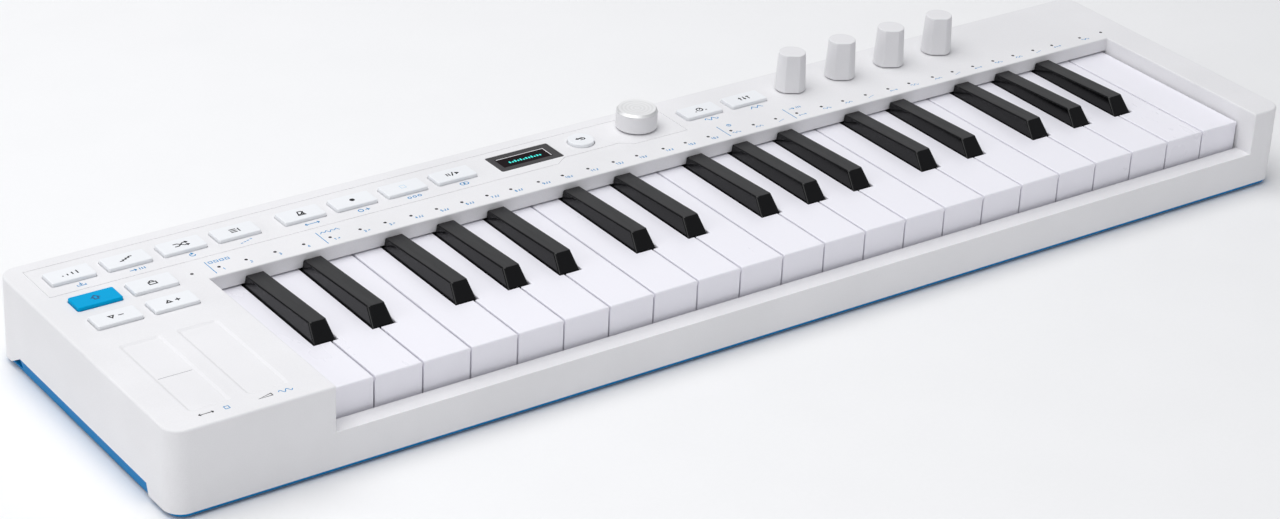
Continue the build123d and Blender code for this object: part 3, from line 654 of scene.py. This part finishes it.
# numbers of the steps, with small note signs, and the ticks between the groups
number_y = lamp_y - 2.5 * MM
first_group = 4
second_group = 16
number_height = 1.5
number_offset = 1.2 * MM
sign_gap = 1.3 * MM
tick_rear, tick_front = 40.1 * MM, 29.0 * MM
for place, x in enumerate(stems):
    number = place + 1 if place < first_group else place + 1 - first_group
    if place >= first_group + second_group:
        small = (wave_icon, ramp_icon, ladder_icon, length_icon)[place % 4]
        labels += drawn(small, (x + 1.6 * MM, number_y), panel_z, 0.26, 0.85)
        continue
    labels += drawn(number_strokes(number, number_height), (x + number_offset, number_y), panel_z, 0.32)
    if place >= first_group:
        sign = arrow_icon if number <= 3 else note_icon
        offset = 3.4 * MM if number > 9 else 2.9 * MM
        labels += drawn(sign, (x + offset, number_y), panel_z, 0.22)
        if 3 < number < 10:
            labels += drawn(sign, (x + offset + sign_gap, number_y), panel_z, 0.22)
tick_places = [0, first_group, first_group + second_group, first_group + second_group + 3]
group_icons = [bank_icon, pattern_icon, rate_icon, into_icon]
for place, icon in zip(tick_places, group_icons):
    x = stems[place] - 3.4 * MM
    labels.append(line_bar(
        [(x, tick_front), (x, tick_rear)], 0.34 * MM, panel_z - print_sink, panel_z + print_height
    ))
    labels += drawn(icon, (x + 6.0 * MM, tick_rear - 1.4 * MM), panel_z, 0.34, 1.3)
make_piece("panel_blue_marks", labels, print_blue, "case")

# finger strips: a centre line across the first, and a sign in front of each
strip_depth = 0.6 * MM
strip_z = panel_z - strip_depth
centre_line_half = 7.4 * MM
strip_centre = (centres["octave_buttons"][0][0], -35.5 * MM)
second_strip_x = centres["octave_buttons"][1][0]
make_piece(
    "strip_centre_line",
    [line_bar(
        [(strip_centre[0] + side * centre_line_half, strip_centre[1]) for side in (-1, 1)],
        0.28 * MM, strip_z - print_sink, strip_z + print_height,
    )],
    print_grey, "case",
)
sign_y = -68.5 * MM
strip_signs = drawn(bend_icon, (strip_centre[0] - 4.2 * MM, sign_y), panel_z, 0.38, 1.25)
strip_signs += drawn(depth_icon, (second_strip_x - 4.2 * MM, sign_y), panel_z, 0.38, 1.25)
make_piece("strip_dark_signs", strip_signs, print_dark, "case")
strip_signs = drawn(stop_icon, (strip_centre[0] + 4.6 * MM, sign_y), panel_z, 0.34, 1.0)
strip_signs += drawn(wave_icon, (second_strip_x + 4.8 * MM, sign_y), panel_z, 0.34, 1.2)
make_piece("strip_blue_signs", strip_signs, print_blue, "case")

# ================================================================ display
glass_low, glass_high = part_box("display_window")
glass_x = (glass_low.x + glass_high.x) / 2
active_low = (glass_x - 13.2 * MM, glass_low.y + 3.4 * MM)
active_high = (glass_x + 12.6 * MM, glass_high.y - 3.0 * MM)
active_level = glass_high.z
make_piece(
    "display_panel",
    [flat_plate(
        [active_low, (active_high[0], active_low[1]), active_high, (active_low[0], active_high[1])],
        active_level - print_sink, active_level + 0.01 * MM,
    )],
    display_active, "case",
)
# painted highlight: a thin white line along the top and right edges of the active area stands in for light
# caught by the edge of the glass
edge_z = active_level + 0.02 * MM
painted_highlight_path = [
    (active_low[0] + 0.6 * MM, active_high[1] - 0.5 * MM),
    (active_high[0] - 0.5 * MM, active_high[1] - 0.5 * MM),
    (active_high[0] - 0.5 * MM, active_low[1] + 0.6 * MM),
]
make_piece(
    "display_painted_highlight", [line_bar(painted_highlight_path, 0.42 * MM, active_level, edge_z)], shell_white, "case",
)
bar_heights = (1.5, 1.0, 1.8, 1.2, 1.7, 0.9, 1.6, 1.3, 1.8, 1.0, 1.5, 1.2)
bar_base = active_low[1] + 2.6 * MM
bar_first, bar_pitch = 5.0, 1.45
level_bars = []
for index, height in enumerate(bar_heights):
    x = active_low[0] + (bar_first + bar_pitch * index) * MM
    level_bars.append(line_bar([(x, bar_base), (x, bar_base + height * MM)], 0.8 * MM, active_level, edge_z))
make_piece("display_level_bars", level_bars, display_cyan, "case")

# ================================================================ encoder
shaft_radius = 3.0 * MM
top_z, skirt_low_z, shaft_low_z = encoder_high.z, panel_z + 0.8 * MM, encoder_low.z
radius = (encoder_high.x - encoder_low.x) / 2
seam_z = top_z - 1.25 * MM
skirt_profile = [
    (0, seam_z), (radius - 0.30 * MM, seam_z), (radius - 0.05 * MM, seam_z - 0.12 * MM),
    (radius, seam_z - 0.5 * MM),
    (radius, skirt_low_z + 0.35 * MM), (radius - 0.35 * MM, skirt_low_z), (shaft_radius, skirt_low_z),
    (shaft_radius, shaft_low_z), (0, shaft_low_z),
]
skirt = make_piece(
    "encoder_skirt", [turned(skirt_profile, (*encoder_centre, 0.0), 96)], knob_white, "encoder_knob",
)
groove_count = 22
bevel = 0.95 * MM
cap_profile = [(0, top_z - 0.22 * MM)]
for step in range(1, groove_count):
    share = step / groove_count
    dish = 0.22 * MM * (1 - share * share)
    cap_profile.append(((radius - bevel) * share, top_z - dish - (0.012 * MM if step % 2 else 0)))
cap_profile += [
    (radius - bevel, top_z - 0.02 * MM), (radius - bevel + 0.10 * MM, top_z - 0.06 * MM),
    (radius - 0.12 * MM, top_z - bevel), (radius - 0.05 * MM, top_z - bevel - 0.08 * MM),
    (radius - 0.05 * MM, seam_z + 0.06 * MM), (radius - 0.45 * MM, seam_z), (0, seam_z),
]
cap = make_piece(
    "encoder_cap", [turned(cap_profile, (*encoder_centre, 0.0), 128)], spun_silver, "encoder_knob",
)
for piece in (skirt, cap):
    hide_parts("encoder_knob")

# ================================================================ rear sockets
jack_sleeves = []
sleeve_stand = 0.30 * MM
rim_share = 1.45
for name, mount in MOUNTS.items():
    x, y, z = mount["pos_m"]
    if mount["kind"] == "bore":
        bore = mount["dims"]["r_mm"] * MM
        rim = bore * rim_share
        profile = [
            (bore, sleeve_stand), (rim - 0.15 * MM, sleeve_stand), (rim, sleeve_stand / 2),
            (rim, -print_sink), (bore, -print_sink), (bore, sleeve_stand),
        ]
        jack_sleeves.append(turned(profile, (x, rear_y, z), 40, along_y=True))
make_piece("jack_sleeves", jack_sleeves, socket_nickel, "case", smooth=False)

# ================================================================ floor, light and camera
floor_material, _ = moulded(
    "studio_floor", (0.93, 0.93, 0.935), 0.62, grain=2.0, grain_depth=0.002, drift=0.006, gloss=0.02
)
floor_half = 5.0
floor_mesh = bpy.data.meshes.new("studio_floor")
floor_mesh.from_pydata(
    [(x * floor_half, y * floor_half, 0) for x, y in ((-1, -1), (1, -1), (1, 1), (-1, 1))],
    [], [(0, 1, 2, 3)],
)
floor_mesh.materials.append(floor_material)
floor = bpy.data.objects.new("studio_floor", floor_mesh)
bpy.context.scene.collection.objects.link(floor)

world = bpy.data.worlds.new("studio")
world.use_nodes = True
world.node_tree.nodes["Background"].inputs["Color"].default_value = (0.93, 0.95, 1.0, 1.0)
world.node_tree.nodes["Background"].inputs["Strength"].default_value = 0.30
bpy.context.scene.world = world


def soft_box(name, place, target, size, power, colour=(1.0, 1.0, 1.0)):
    """A rectangular area light that faces a target."""
    light = bpy.data.lights.new(name, "AREA")
    light.shape = "RECTANGLE"
    light.size, light.size_y = size
    light.energy = power
    light.color = colour
    lamp = bpy.data.objects.new(name, light)
    lamp.location = place
    lamp.rotation_euler = (Vector(target) - Vector(place)).to_track_quat("-Z", "Y").to_euler()
    bpy.context.scene.collection.objects.link(lamp)


soft_box("overhead_box", (-0.45, 0.15, 1.6), (-0.1, 0.0, 0.0), (2.2, 1.4), 24.0)
soft_box("backdrop_box", (1.0, 2.1, 1.0), (0.0, 0.0, 0.0), (3.0, 1.5), 6.5)
soft_box("left_box", (-1.9, 0.2, 0.75), (0.0, 0.0, 0.02), (1.3, 1.0), 6.3)
soft_box("front_box", (0.7, -1.9, 0.7), (0.1, 0.0, 0.02), (1.8, 0.8), 4.4)

heading, down, roll = (math.radians(angle) for angle in (36.454, 27.584, 2.841))
forward = Vector((math.sin(heading) * math.cos(down), math.cos(heading) * math.cos(down), -math.sin(down)))
level_right = Vector((math.cos(heading), -math.sin(heading), 0.0))
level_up = level_right.cross(forward)
right = level_right * math.cos(roll) + level_up * math.sin(roll)
up = level_up * math.cos(roll) - level_right * math.sin(roll)
camera_data = bpy.data.cameras.new("studio_camera")
camera_data.sensor_fit = "HORIZONTAL"
camera_data.sensor_width = 36.0
camera_data.lens = 88.06
camera_place = (-0.75042, -0.98429, 0.64684)
camera = bpy.data.objects.new("studio_camera", camera_data)
turn = Matrix((right, up, -forward)).transposed().to_4x4()
camera.matrix_world = Matrix.Translation(camera_place) @ turn
bpy.context.scene.collection.objects.link(camera)
bpy.context.scene.camera = camera
bpy.context.scene.view_settings.view_transform = "Standard"

bpy.context.view_layer.update()
